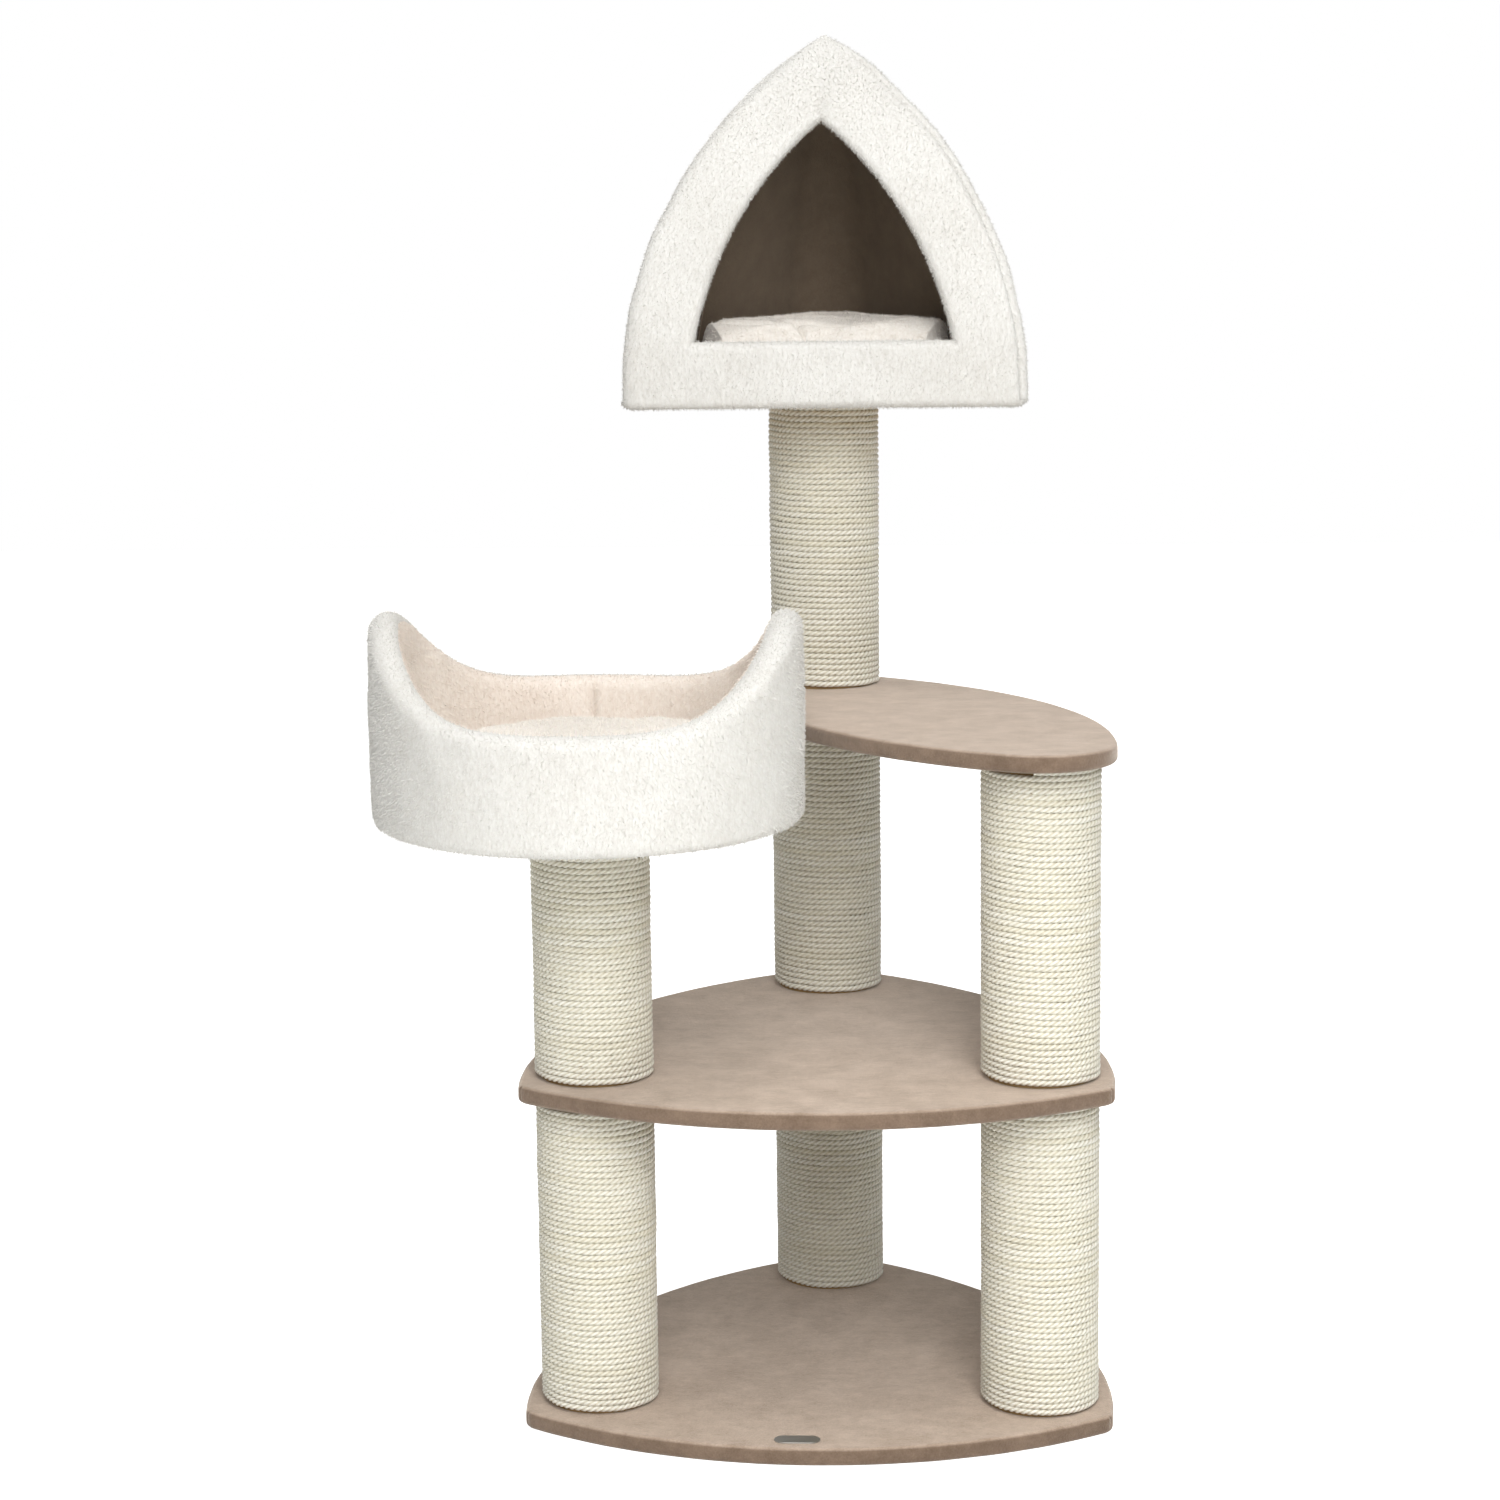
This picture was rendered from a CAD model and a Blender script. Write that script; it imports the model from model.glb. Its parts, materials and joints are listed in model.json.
import json
import math

import bmesh
import bpy
import numpy as np
from mathutils import Matrix, Vector, noise

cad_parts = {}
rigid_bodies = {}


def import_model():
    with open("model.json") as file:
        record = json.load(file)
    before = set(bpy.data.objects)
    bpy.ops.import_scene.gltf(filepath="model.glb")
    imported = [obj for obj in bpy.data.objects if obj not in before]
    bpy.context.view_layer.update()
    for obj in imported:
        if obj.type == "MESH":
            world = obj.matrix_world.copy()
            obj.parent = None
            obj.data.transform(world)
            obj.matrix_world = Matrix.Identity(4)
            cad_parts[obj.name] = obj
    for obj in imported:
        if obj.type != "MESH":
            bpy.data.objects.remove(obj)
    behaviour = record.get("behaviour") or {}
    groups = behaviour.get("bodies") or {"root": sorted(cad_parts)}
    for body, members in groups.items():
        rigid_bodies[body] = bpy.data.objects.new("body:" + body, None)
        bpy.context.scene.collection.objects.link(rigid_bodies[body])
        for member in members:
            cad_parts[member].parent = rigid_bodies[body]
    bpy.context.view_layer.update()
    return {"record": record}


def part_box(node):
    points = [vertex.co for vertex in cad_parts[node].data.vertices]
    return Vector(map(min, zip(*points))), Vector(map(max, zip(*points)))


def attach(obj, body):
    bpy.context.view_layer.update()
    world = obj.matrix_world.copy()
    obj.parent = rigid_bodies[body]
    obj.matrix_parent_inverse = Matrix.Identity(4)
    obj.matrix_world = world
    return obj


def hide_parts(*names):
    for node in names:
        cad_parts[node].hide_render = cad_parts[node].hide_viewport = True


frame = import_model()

scene = bpy.context.scene

# ---- studio ------------------------------------------------------------------------------------
# A plain white sweep: a pale floor, a bright surround, two broad soft lights in front, a weak one
# overhead and one that washes the floor. The camera stands 3.4 m away at a long focal length.
camera_place = Vector((0.1175, -3.4045, 1.2535))
camera_yaw = math.radians(-3.151)
camera_pitch = math.radians(9.712)
camera_roll = math.radians(-0.698)
camera_data = bpy.data.cameras.new("camera")
camera_data.sensor_width = 36.0
camera_data.lens = 80.61
camera = bpy.data.objects.new("camera", camera_data)
camera.matrix_world = (
    Matrix.Translation(camera_place)
    @ Matrix.Rotation(-camera_yaw, 4, "Z")
    @ Matrix.Rotation(math.radians(90) - camera_pitch, 4, "X")
    @ Matrix.Rotation(camera_roll, 4, "Z")
)
scene.collection.objects.link(camera)
scene.camera = camera
scene.view_settings.view_transform = "Standard"


def linear(hex_colour):
    """An sRGB hex colour as linear red, green, blue and alpha."""
    parts = [int(hex_colour[i:i + 2], 16) / 255 for i in (1, 3, 5)]
    return [c / 12.92 if c <= 0.04045 else ((c + 0.055) / 1.055) ** 2.4 for c in parts] + [1.0]


def add_node(tree, kind, links=None, **settings):
    """A node with its settings; links gives each input socket a value or another node's output."""
    made = tree.nodes.new(kind)
    for name, value in settings.items():
        setattr(made, name, value)
    for socket, value in (links or {}).items():
        if isinstance(value, bpy.types.NodeSocket):
            tree.links.new(value, made.inputs[socket])
        else:
            made.inputs[socket].default_value = value
    return made


def new_material(name):
    """A new material: its node tree, its shader and the place on the object, in metres."""
    material = bpy.data.materials.new(name)
    material.use_nodes = True
    tree = material.node_tree
    place = add_node(tree, "ShaderNodeTexCoord").outputs["Object"]
    return material, tree, tree.nodes["Principled BSDF"], place


def finish_material(tree, shader, colour, height, strength, distance):
    """Link a material's colour and its fine relief, the depth of which is in metres."""
    bump = add_node(tree, "ShaderNodeBump", {
        "Height": height, "Strength": strength, "Distance": distance})
    tree.links.new(colour, shader.inputs["Base Color"])
    tree.links.new(bump.outputs[0], shader.inputs["Normal"])


def dress(piece, material, node, body="tree"):
    """Give a piece its material, the CAD node it replaces and the body it rides with."""
    piece.data.materials.append(material)
    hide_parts(node)
    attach(piece, body)


def mesh_piece(name, points, faces, smooth=True):
    """A mesh object from points in metres and faces, with its doubles merged."""
    mesh = bpy.data.meshes.new(name)
    mesh.from_pydata([tuple(p) for p in points], [], faces)
    work = bmesh.new()
    work.from_mesh(mesh)
    bmesh.ops.remove_doubles(work, verts=work.verts, dist=1e-6)
    bmesh.ops.recalc_face_normals(work, faces=work.faces)
    work.to_mesh(mesh)
    work.free()
    if smooth:
        mesh.shade_smooth()
    else:
        mesh.shade_flat()
    piece = bpy.data.objects.new(name, mesh)
    scene.collection.objects.link(piece)
    return piece


def face_towards(piece, target, away=False):
    """Turn an open skin's normals towards a point, or away from it."""
    side = sum((target - face.center).dot(face.normal) * face.area for face in piece.data.polygons)
    if (side < 0) != away:
        piece.data.flip_normals()
    return piece


def ring_faces(rings, around, closed=True):
    """Quads between rings of points that follow one another."""
    faces = []
    last = around if closed else around - 1
    for r in range(rings - 1):
        for i in range(last):
            a, b = r * around + i, r * around + (i + 1) % around
            faces.append((a, b, b + around, a + around))
    return faces


floor_half = 8.0
floor_rim = [(-floor_half, -floor_half, 0), (floor_half, -floor_half, 0),
             (floor_half, floor_half, 0), (-floor_half, floor_half, 0)]
floor = mesh_piece("studio_floor", floor_rim, [(0, 1, 2, 3)], smooth=False)
paper = bpy.data.materials.new("studio_paper")
paper.use_nodes = True
paper_shader = paper.node_tree.nodes["Principled BSDF"]
paper_shader.inputs["Base Color"].default_value = linear("#f2f2f0")
paper_shader.inputs["Roughness"].default_value = 0.9
paper_shader.inputs["Emission Color"].default_value = linear("#ffffff")
only_seen = add_node(paper.node_tree, "ShaderNodeLightPath")
glow = add_node(paper.node_tree, "ShaderNodeMath", {
    0: only_seen.outputs["Is Camera Ray"], 1: 1.0}, operation="MULTIPLY")
paper.node_tree.links.new(glow.outputs[0], paper_shader.inputs["Emission Strength"])
floor.data.materials.append(paper)

world = bpy.data.worlds.new("studio_surround")
world.use_nodes = True
world_tree = world.node_tree
world_tree.nodes.clear()
seen = add_node(world_tree, "ShaderNodeLightPath")
towards = add_node(world_tree, "ShaderNodeTexCoord").outputs["Generated"]
split = add_node(world_tree, "ShaderNodeSeparateXYZ", {0: towards})
sideways = add_node(world_tree, "ShaderNodeMath", {0: split.outputs["X"]}, operation="ABSOLUTE")
from_sides = add_node(world_tree, "ShaderNodeMapRange", {
    "Value": sideways.outputs[0], "From Min": 0.2, "From Max": 0.9, "To Min": 0.22, "To Max": 0.36})
from_rear = add_node(world_tree, "ShaderNodeMapRange", {
    "Value": split.outputs["Y"], "From Min": 0.1, "From Max": 0.9, "To Min": 0.0, "To Max": 0.4})
all_round = add_node(world_tree, "ShaderNodeMath", {
    0: from_sides.outputs["Result"], 1: from_rear.outputs["Result"]}, operation="ADD")
strength = add_node(world_tree, "ShaderNodeMix", {
    "Factor": seen.outputs["Is Camera Ray"], "A": all_round.outputs[0], "B": 1.0}, data_type="FLOAT")
surround = add_node(world_tree, "ShaderNodeBackground", {
    "Color": linear("#ffffff"), "Strength": strength.outputs["Result"]})
add_node(world_tree, "ShaderNodeOutputWorld", {"Surface": surround.outputs[0]})
scene.world = world

for light_name, place, aim, size, power, spread in (
    ("front_key", (0.65, -4.3, 3.05), (0.0, 0.0, 0.75), 2.9, 132.0, 180),
    ("front_high", (0.5, -3.6, 4.2), (0.0, 0.0, 0.75), 2.2, 66.0, 180),
    ("overhead", (0.3, -0.9, 4.9), (0.0, 0.0, 0.7), 1.6, 48.0, 180),
    ("floor_wash", (0.2, -1.7, 2.7), (0.2, -1.7, 0.0), 1.6, 13.0, 70),
):
    light_data = bpy.data.lights.new(light_name, "AREA")
    light_data.shape = "DISK"
    light_data.size = size
    light_data.energy = power
    light_data.spread = math.radians(spread)
    light = bpy.data.objects.new(light_name, light_data)
    direction = Vector(aim) - Vector(place)
    facing = direction.to_track_quat("-Z", "Y").to_matrix().to_4x4()
    light.matrix_world = Matrix.Translation(place) @ facing
    scene.collection.objects.link(light)

# ---- fabric covers of the boards ---------------------------------------------------------------
# Brown-grey microsuede, a short-napped polyester cloth, stretched over the chipboard and stapled
# below. The nap lies in soft lighter and darker patches, and the cloth is pleated at each corner.
board_arc_radius = 0.503
board_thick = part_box("base_cover")[1].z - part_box("base_cover")[0].z
side_reach = -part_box("base_cover")[0].y
board_corner_radius = 0.020
shelf_half_width = 0.145
shelf_tip_radius = 0.077
cover_edge_radius = 0.0052
suede_thick = 0.0012
turn_under = 0.016            # how far the cloth reaches round under the board
cover_unevenness = 0.0005     # how far it stands off the board here and there
pleat_share = 0.16            # how wide a pleat is, as a share of its corner


def board_rim(arc_centres, corner_radius, side_points, corner_points):
    """Points and outward directions round an outline of equal arcs with rounded corners."""
    spots = []
    count = len(arc_centres)
    corners = []
    for k in range(count):
        a, b = arc_centres[k], arc_centres[(k + 1) % count]
        middle, apart = (a + b) / 2, (b - a)
        reach = math.sqrt((board_arc_radius - corner_radius) ** 2 - (apart.length / 2) ** 2)
        corners.append(middle + Vector((-apart.y, apart.x)).normalized() * reach)
    for k in range(count):
        start = corners[k - 1] - arc_centres[k]
        end = corners[k] - arc_centres[k]
        first = math.atan2(start.y, start.x)
        sweep = (math.atan2(end.y, end.x) - first) % (2 * math.pi)
        for i in range(side_points):
            angle = first + sweep * i / side_points
            out = Vector((math.cos(angle), math.sin(angle)))
            spots.append((arc_centres[k] + out * board_arc_radius, out, 1.0))
        after = corners[k] - arc_centres[(k + 1) % count]
        first = math.atan2(end.y, end.x)
        sweep = (math.atan2(after.y, after.x) - first) % (2 * math.pi)
        for i in range(corner_points):
            angle = first + sweep * i / corner_points
            out = Vector((math.cos(angle), math.sin(angle)))
            spots.append((corners[k] + out * corner_radius, out, abs(2 * i / corner_points - 1)))
    return spots


def turned(reach, degrees):
    """A level vector of this length at this angle."""
    return Vector((math.cos(math.radians(degrees)), math.sin(math.radians(degrees)))) * reach


triangle_centres = [turned(board_arc_radius - side_reach, angle) for angle in (210, 330, 90)]
triangle_rim = board_rim(triangle_centres, board_corner_radius, 110, 28)
shelf_side = side_reach - shelf_half_width
shelf_centres = [
    turned(shelf_side - board_arc_radius + shelf_half_width, 30),
    turned(shelf_side + board_arc_radius - shelf_half_width, 30),
]
shelf_rim = board_rim(shelf_centres, shelf_tip_radius, 120, 70)


def thicken(piece, thickness, offset):
    """Give a skin the thickness of its cloth, inwards at -1 and to both sides at 0."""
    wall = piece.modifiers.new("cloth_thickness", "SOLIDIFY")
    wall.thickness = thickness
    wall.offset = offset
    return piece


def suede_cover(name, rim, centre, bottom, pleat):
    """The cloth over a board: under the edge, round it and across the top, as one skin."""
    arc_steps = 6
    turns = [math.radians(90 * step / arc_steps) for step in range(arc_steps + 1)]
    radius = cover_edge_radius
    profile = [(0.0, 0.0), (turn_under, 0.0)]    # how far in from the edge, and how high
    profile += [(radius * (1 - math.sin(turn)), radius * (1 - math.cos(turn))) for turn in turns]
    profile += [(radius * (1 - math.cos(turn)), board_thick - radius * (1 - math.sin(turn)))
                for turn in turns]
    shares = (0.985, 0.96, 0.93, 0.88, 0.82, 0.75, 0.67, 0.58, 0.49, 0.40, 0.31, 0.22, 0.13, 0.05)
    points = []
    for level, (inset, height) in enumerate(profile):
        for place, out, away in rim:
            if level == 0:
                spot = centre + (place - out * turn_under - centre) * 0.93
            else:
                spot = place - out * inset
            on_edge = 1.0 if 0.001 < height < board_thick - 0.001 else 0.4
            ridge = pleat * math.exp(-(away / pleat_share) ** 2) * on_edge
            wave = noise.noise(Vector((spot.x * 30, spot.y * 30, height * 60))) * cover_unevenness
            spot = spot + out * (wave - ridge)
            points.append((spot.x, spot.y, bottom + height))
    for share in shares:
        for place, out, away in rim:
            spot = centre + (place - out * cover_edge_radius - centre) * share
            swell = noise.noise(Vector((spot.x * 14, spot.y * 14, bottom * 7))) * cover_unevenness
            points.append((spot.x, spot.y, bottom + board_thick + swell * (1 - share ** 6)))
    around = len(rim)
    rings = len(profile) + len(shares)
    faces = ring_faces(rings, around)
    points.append((centre.x, centre.y, bottom + board_thick))
    middle = len(points) - 1
    last = (rings - 1) * around
    faces += [(last + i, last + (i + 1) % around, middle) for i in range(around)]
    return thicken(mesh_piece(name, points, faces), suede_thick, -1)


def suede(name, top_hex, top_dark_hex, side_hex, side_dark_hex):
    """Microsuede: a matt napped polyester cloth, rough, with a sheen at grazing angles.

    On a level face its nap lies brushed and pale; over an edge it opens and shows its darker ground.
    """
    material, tree, shader, place = new_material(name)
    patches = add_node(tree, "ShaderNodeTexNoise", {  # nap brushed in patches about 35 mm across
        "Vector": place, "Scale": 30.0, "Detail": 8.0, "Roughness": 0.72})
    grain = add_node(tree, "ShaderNodeTexNoise", {  # tufts of fibre, drawn 2 mm wide to show
        "Vector": place, "Scale": 520.0, "Detail": 3.0, "Roughness": 0.7})
    stretched = add_node(tree, "ShaderNodeMapping", {"Vector": place, "Scale": (40.0, 150.0, 90.0)})
    streaks = add_node(tree, "ShaderNodeTexNoise", {  # brushed streaks about 25 by 7 mm
        "Vector": stretched.outputs[0], "Scale": 1.0, "Detail": 4.0, "Roughness": 0.6})
    spread = add_node(tree, "ShaderNodeMapRange", {
        "Value": patches.outputs["Fac"], "From Min": 0.3, "From Max": 0.7})
    streaked = add_node(tree, "ShaderNodeMath", {
        0: streaks.outputs["Fac"], 1: 0.55, 2: spread.outputs[0]}, operation="MULTIPLY_ADD")
    grained = add_node(tree, "ShaderNodeMath", {
        0: grain.outputs["Fac"], 1: 1.5, 2: streaked.outputs[0]}, operation="MULTIPLY_ADD")
    share = add_node(tree, "ShaderNodeMapRange", {
        "Value": grained.outputs[0], "From Min": 0.85, "From Max": 2.0})
    slope = add_node(tree, "ShaderNodeSeparateXYZ", {
        0: add_node(tree, "ShaderNodeNewGeometry").outputs["Normal"]})
    level = add_node(tree, "ShaderNodeMapRange", {
        "Value": slope.outputs["Z"], "From Min": 0.45, "From Max": 0.97},
        interpolation_type="SMOOTHSTEP")
    top = add_node(tree, "ShaderNodeMix", {
        "Factor": share.outputs[0], "A": linear(top_dark_hex), "B": linear(top_hex)}, data_type="RGBA")
    side = add_node(tree, "ShaderNodeMix", {
        "Factor": share.outputs[0], "A": linear(side_dark_hex), "B": linear(side_hex)},
        data_type="RGBA")
    colour = add_node(tree, "ShaderNodeMix", {
        "Factor": level.outputs[0], "A": side.outputs["Result"], "B": top.outputs["Result"]},
        data_type="RGBA")
    finish_material(tree, shader, colour.outputs["Result"], grained.outputs[0], 0.5, 0.0009)
    shader.inputs["Roughness"].default_value = 0.92
    shader.inputs["Specular IOR Level"].default_value = 0.25
    shader.inputs["Sheen Weight"].default_value = 0.8
    shader.inputs["Sheen Roughness"].default_value = 0.45
    shader.inputs["Sheen Tint"].default_value = linear("#f4e8dc")
    return material


taupe_suede = suede("taupe_microsuede", "#c0ad9c", "#937f6c", "#836f5e", "#655344")


def plane_area(outline):
    """The flat area inside an outline of points, in square metres."""
    pairs = zip(outline, outline[1:] + outline[:1])
    return abs(sum(a[0] * b[1] - b[0] * a[1] for a, b in pairs)) / 2


for cover_name, rim, centre, replaced, pleat, cloth in (
    ("base_fabric", triangle_rim, Vector((0, 0)), "base_cover", 0.0006, (0.70, 0.71)),
    ("middle_fabric", triangle_rim, Vector((0, 0)), "middle_cover", 0.0012, (0.70, 0.71)),
    ("shelf_fabric", shelf_rim, turned(shelf_side, 30), "shelf_cover", 0.0, (0.39, 0.72)),
):
    cover = suede_cover(cover_name, rim, centre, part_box(replaced)[0].z, pleat)
    dress(cover, taupe_suede, replaced)
    top_area = plane_area([place for place, out, away in rim])

# ---- rope windings of the posts ----------------------------------------------------------------
# Natural sisal rope, 6 mm, three strands laid together, wound tight round each cardboard tube and
# glued. The strands slant across each turn, and a few brown leaf fibres show among the cream ones.
rope_diameter = 0.0062
rope_pitch = 0.00612
rope_lay = 0.0195            # one full twist of the three strands
rope_rim_points = 9          # three to a strand, and one ring each ninth of a twist
post_radius = 0.060
winding_radius = post_radius - rope_diameter / 2


def geometry_tree(name, sockets):
    """A new geometry node tree with these named inputs, and the outputs of its input node."""
    tree = bpy.data.node_groups.new(name, "GeometryNodeTree")
    for socket_name, kind, value in sockets:
        socket = tree.interface.new_socket(socket_name, in_out="INPUT", socket_type="NodeSocket" + kind)
        if value is not None:
            socket.default_value = value
    tree.interface.new_socket("Geometry", in_out="OUTPUT", socket_type="NodeSocketGeometry")
    return tree, add_node(tree, "NodeGroupInput").outputs


def finish_tree(tree, geometry, material):
    """End a geometry node tree with real geometry in one material."""
    real = add_node(tree, "GeometryNodeRealizeInstances", {"Geometry": geometry})
    dressed = add_node(tree, "GeometryNodeSetMaterial", {
        "Geometry": real.outputs[0], "Material": material})
    add_node(tree, "NodeGroupOutput", {"Geometry": dressed.outputs[0]})


rope_tree, given = geometry_tree("rope_winding", (
    ("Winding Radius", "Float", winding_radius),
    ("Turns", "Float", 50.0),
    ("Height", "Float", 0.3),
    ("Points A Turn", "Int", 165),
    ("Rope Radius", "Float", rope_diameter / 2),
    ("Place", "Vector", (0.0, 0.0, 0.0)),
    ("Seed", "Float", 0.0),
    ("Material", "Material", None),
))
coil = add_node(rope_tree, "GeometryNodeCurveSpiral", {
    "Resolution": given["Points A Turn"], "Rotations": given["Turns"], "Height": given["Height"],
    "Start Radius": given["Winding Radius"], "End Radius": given["Winding Radius"]})
spot = add_node(rope_tree, "GeometryNodeInputPosition")
unevenness = add_node(rope_tree, "ShaderNodeTexNoise", {
    "Vector": spot.outputs[0], "W": given["Seed"], "Scale": 26.0, "Detail": 3.0}, noise_dimensions="4D")
centred = add_node(rope_tree, "ShaderNodeVectorMath", {
    0: unevenness.outputs["Color"], 1: (0.5, 0.5, 0.5)}, operation="SUBTRACT")
wander = add_node(rope_tree, "ShaderNodeVectorMath", {
    0: centred.outputs[0], 1: (0.0024, 0.0024, 0.0036)}, operation="MULTIPLY")
laid = add_node(rope_tree, "GeometryNodeSetPosition", {
    "Geometry": coil.outputs["Curve"], "Offset": wander.outputs[0]})
index = add_node(rope_tree, "GeometryNodeInputIndex")
twist = add_node(rope_tree, "ShaderNodeMath", {
    0: index.outputs[0], 1: -2 * math.pi / rope_rim_points}, operation="MULTIPLY")
twisted = add_node(rope_tree, "GeometryNodeSetCurveTilt", {
    "Curve": laid.outputs[0], "Tilt": twist.outputs[0]})
along = add_node(rope_tree, "GeometryNodeSplineParameter")
marked = add_node(rope_tree, "GeometryNodeStoreNamedAttribute", {
    "Geometry": twisted.outputs[0], "Name": "along", "Value": along.outputs["Length"]},
    data_type="FLOAT", domain="POINT")
section = add_node(rope_tree, "GeometryNodeCurvePrimitiveCircle", {
    "Resolution": rope_rim_points, "Radius": given["Rope Radius"]})
rim_index = add_node(rope_tree, "GeometryNodeInputIndex")
third = add_node(rope_tree, "ShaderNodeMath", {0: rim_index.outputs[0], 1: 3.0}, operation="MODULO")
valley = add_node(rope_tree, "ShaderNodeMath", {0: third.outputs[0], 1: 0.5}, operation="LESS_THAN")
depth = add_node(rope_tree, "ShaderNodeMapRange", {
    "Value": valley.outputs[0], "To Min": 1.06, "To Max": 0.67})
rim_spot = add_node(rope_tree, "GeometryNodeInputPosition")
notched = add_node(rope_tree, "ShaderNodeVectorMath", {
    0: rim_spot.outputs[0], "Scale": depth.outputs[0]}, operation="SCALE")
strands = add_node(rope_tree, "GeometryNodeSetPosition", {
    "Geometry": section.outputs["Curve"], "Position": notched.outputs[0]})
strand_marked = add_node(rope_tree, "GeometryNodeStoreNamedAttribute", {
    "Geometry": strands.outputs[0], "Name": "valley", "Value": valley.outputs[0]},
    data_type="FLOAT", domain="POINT")
tube = add_node(rope_tree, "GeometryNodeCurveToMesh", {
    "Curve": marked.outputs[0], "Profile Curve": strand_marked.outputs[0], "Fill Caps": True})
stood = add_node(rope_tree, "GeometryNodeTransform", {
    "Geometry": tube.outputs[0], "Translation": given["Place"]})
smooth = add_node(rope_tree, "GeometryNodeSetShadeSmooth", {"Geometry": stood.outputs[0]})
finish_tree(rope_tree, smooth.outputs[0], given["Material"])

# Sisal is a plant fibre: dry, matt and cream, with a few brown flecks.
sisal, tree, shader, place = new_material("sisal_rope")
in_valley = add_node(tree, "ShaderNodeAttribute", attribute_name="valley").outputs["Fac"]
length_along = add_node(tree, "ShaderNodeAttribute", attribute_name="along").outputs["Fac"]
stretch = add_node(tree, "ShaderNodeMapping", {"Vector": place, "Scale": (300.0, 300.0, 1100.0)})
fibres = add_node(tree, "ShaderNodeTexNoise", {  # single fibres, 0.2 mm, drawn 1 mm wide
    "Vector": stretch.outputs[0], "Scale": 1.0, "Detail": 3.0, "Roughness": 0.7})
shade = add_node(tree, "ShaderNodeTexNoise", {  # the rope's colour drifts along its length
    "W": length_along, "Scale": 1.6, "Detail": 6.0, "Roughness": 0.7}, noise_dimensions="1D")
tone = add_node(tree, "ShaderNodeMapRange", {
    "Value": shade.outputs["Fac"], "From Min": 0.35, "From Max": 0.65})
cream = add_node(tree, "ShaderNodeMix", {
    "Factor": tone.outputs[0], "A": linear("#eae6d6"), "B": linear("#f6f4ea")}, data_type="RGBA")
hollow = add_node(tree, "ShaderNodeMath", {0: in_valley, 1: 0.6}, operation="MULTIPLY")
sunk = add_node(tree, "ShaderNodeMix", {
    "Factor": hollow.outputs[0], "A": cream.outputs["Result"], "B": linear("#bdb08f")},
    data_type="RGBA")
fleck_map = add_node(tree, "ShaderNodeMapping", {"Vector": place, "Scale": (110.0, 110.0, 420.0)})
flecks = add_node(tree, "ShaderNodeTexNoise", {  # brown leaf fibre, about 8 mm long
    "Vector": fleck_map.outputs[0], "Scale": 1.0, "Detail": 2.0})
fleck_share = add_node(tree, "ShaderNodeMapRange", {
    "Value": flecks.outputs["Fac"], "From Min": 0.70, "From Max": 0.78, "To Max": 0.6})
flecked = add_node(tree, "ShaderNodeMix", {
    "Factor": fleck_share.outputs[0], "A": sunk.outputs["Result"], "B": linear("#8a6a42")},
    data_type="RGBA")
finish_material(tree, shader, flecked.outputs["Result"], fibres.outputs["Fac"], 0.9, 0.0009)
shader.inputs["Roughness"].default_value = 0.85
shader.inputs["Specular IOR Level"].default_value = 0.3


def from_nodes(name, tree, values):
    """A plain mesh object made by a geometry node tree from these named inputs."""
    holder = bpy.data.objects.new(name + "_holder", bpy.data.meshes.new(name + "_holder"))
    scene.collection.objects.link(holder)
    modifier = holder.modifiers.new("nodes", "NODES")
    modifier.node_group = tree
    for item in tree.interface.items_tree:
        if item.item_type == "SOCKET" and item.in_out == "INPUT" and item.name in values:
            modifier[item.identifier] = values[item.name]
    ready = holder.evaluated_get(bpy.context.evaluated_depsgraph_get())
    mesh = bpy.data.meshes.new_from_object(ready)
    bpy.data.objects.remove(holder)
    mesh.name = name
    piece = bpy.data.objects.new(name, mesh)
    scene.collection.objects.link(piece)
    return piece


post_names = ["lower_front_left", "lower_front_right", "lower_rear", "bed_post", "shelf_post",
              "middle_rear", "house_post"]
for number, post in enumerate(post_names):
    low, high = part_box(post + "_rope")
    wound = high.z - low.z - rope_diameter
    rope = from_nodes(post + "_winding", rope_tree, {
        "Winding Radius": winding_radius,
        "Turns": wound / rope_pitch,
        "Height": wound,
        "Points A Turn": round(2 * math.pi * winding_radius / (rope_lay / rope_rim_points)),
        "Rope Radius": rope_diameter / 2,
        "Place": ((low.x + high.x) / 2, (low.y + high.y) / 2, low.z + rope_diameter / 2),
        "Seed": number * 3.7,
        "Material": sisal,
    })
    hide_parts(post + "_rope")
    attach(rope, "tree")

# ---- plush of the round bed --------------------------------------------------------------------
# Short-pile polyester plush, off-white outside and rosy beige inside, over foam and a bent board.
# The outside goes over the rolled rim and meets the lining at a seam just inside it.
bed_low, bed_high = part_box("bed_cover")
bed_middle = (bed_low + bed_high) / 2
bed_outer_radius = (bed_high.x - bed_low.x) / 2
bed_base = bed_low.z
bed_rim_dip = 0.738
bed_ear_rise = bed_high.z - bed_rim_dip
bed_wall_thick = 0.031
bed_seam_turn = 102.0        # how far round the rolled rim the white plush reaches, in degrees
bed_seam_angle = math.radians(93.8)
bed_ear_turn = 54.0          # how much further it reaches on the ears
bed_foot_radius = 0.011
bed_around = 400
bed_ear_sharpness = 4.6


def bed_rim_height(angle):
    """The rim is level at the front and the rear and rises to a rounded ear on each side."""
    return bed_rim_dip + bed_ear_rise * abs(math.cos(angle)) ** bed_ear_sharpness


def bed_spot(angle, radius, height, rough):
    """A point of the bed's plush, with the soft unevenness of its padding."""
    out = Vector((math.cos(angle), math.sin(angle), 0))
    flat = out * radius
    swell = noise.noise(Vector((flat.x * 22, flat.y * 22, height * 22))) * 0.0016 * rough
    swell += noise.noise(Vector((flat.x * 70, flat.y * 70, height * 55))) * 0.0007 * rough
    return Vector((bed_middle.x, bed_middle.y, height)) + out * (radius + swell)


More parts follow.
